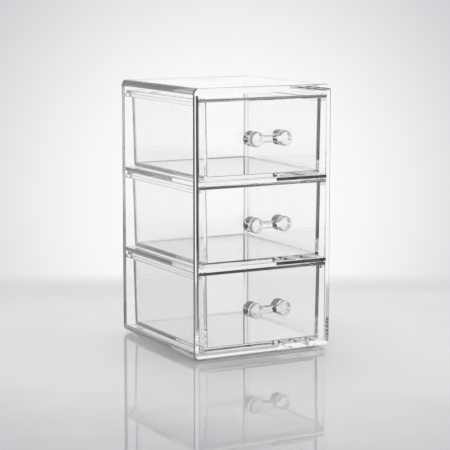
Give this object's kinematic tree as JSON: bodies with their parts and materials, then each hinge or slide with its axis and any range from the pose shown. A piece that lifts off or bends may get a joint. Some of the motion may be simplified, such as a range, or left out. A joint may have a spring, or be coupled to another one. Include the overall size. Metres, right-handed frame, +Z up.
{
  "type": "acrylic makeup organizer drawers",
  "caption": "Clear acrylic tower of open-topped drawers on runners in a rounded sleeve, with dumbbell handles and small feet.",
  "frame": {"origin": "under the middle of the whole tower, handles included, on the surface that it stands on", "axes": "+Z up, the drawers open towards -Y, +X to the right of a person facing the drawers"},
  "size_m": [0.152, 0.1748, 0.2621],
  "materials": {
    "case_acrylic": "clear, polished cast acrylic",
    "drawer_acrylic": "clear, glossy moulded acrylic",
    "handle_acrylic": "clear, glossy moulded acrylic",
    "foot_rubber": "translucent soft rubber"
  },
  "bodies": {
    "case": {"case_sleeve": "case_acrylic", "back_panel": "case_acrylic", "shelf_over_lower_drawer": "case_acrylic", "shelf_over_middle_drawer": "case_acrylic", "front_left_foot": "foot_rubber", "front_right_foot": "foot_rubber", "rear_left_foot": "foot_rubber", "rear_right_foot": "foot_rubber", "lower_left_runner": "case_acrylic", "lower_right_runner": "case_acrylic", "middle_left_runner": "case_acrylic", "middle_right_runner": "case_acrylic", "upper_left_runner": "case_acrylic", "upper_right_runner": "case_acrylic"},
    "lower_drawer": {"lower_drawer_tray": "drawer_acrylic", "lower_drawer_front": "drawer_acrylic", "lower_drawer_handle": "handle_acrylic"},
    "middle_drawer": {"middle_drawer_tray": "drawer_acrylic", "middle_drawer_front": "drawer_acrylic", "middle_drawer_handle": "handle_acrylic"},
    "upper_drawer": {"upper_drawer_tray": "drawer_acrylic", "upper_drawer_front": "drawer_acrylic", "upper_drawer_handle": "handle_acrylic"}
  },
  "joints": [
    {"name": "lower_drawer_slide", "type": "slide", "parent": "case", "child": "lower_drawer", "axis": [0, -1, 0], "range_m": [0, 0.105]},
    {"name": "middle_drawer_slide", "type": "slide", "parent": "case", "child": "middle_drawer", "axis": [0, -1, 0], "range_m": [0, 0.105]},
    {"name": "upper_drawer_slide", "type": "slide", "parent": "case", "child": "upper_drawer", "axis": [0, -1, 0], "range_m": [0, 0.105]}
  ]
}
